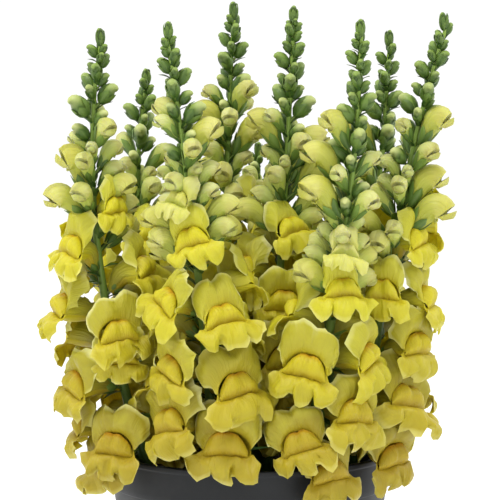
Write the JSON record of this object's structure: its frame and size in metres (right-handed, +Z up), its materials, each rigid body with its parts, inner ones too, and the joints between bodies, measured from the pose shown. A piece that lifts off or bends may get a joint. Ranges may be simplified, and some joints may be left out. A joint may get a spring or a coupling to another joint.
{
  "type": "potted snapdragon plant",
  "caption": "Yellow bedding snapdragon in a round nursery pot: dense two-lipped blooms on upright stems, with pale and green buds rising above them.",
  "frame": {"origin": "centre of the pot's flat underside", "axes": "+Z up along the pot's axis, -Y towards the plant's front, +X to its right seen from the front"},
  "size_m": [0.1792, 0.1628, 0.332],
  "materials": {
    "pot": "satin injection-moulded black nursery plastic",
    "soil": "moist peaty potting soil",
    "green": "fresh green plant tissue, satin",
    "petal": "soft translucent yellow petal"
  },
  "bodies": {
    "root": {"pot": "pot", "soil": "soil", "stem_a": "green", "stem_b": "green", "stem_c": "green", "stem_d": "green", "stem_e": "green", "stem_f": "green", "stem_g": "green", "stem_h": "green", "stem_i": "green", "stem_j": "green", "stem_k": "green", "blooms_a": "petal", "blooms_b": "petal", "blooms_c": "petal", "blooms_d": "petal", "blooms_e": "petal", "blooms_f": "petal", "blooms_g": "petal", "blooms_h": "petal", "blooms_i": "petal", "blooms_j": "petal", "blooms_k": "petal"}
  },
  "joints": []
}
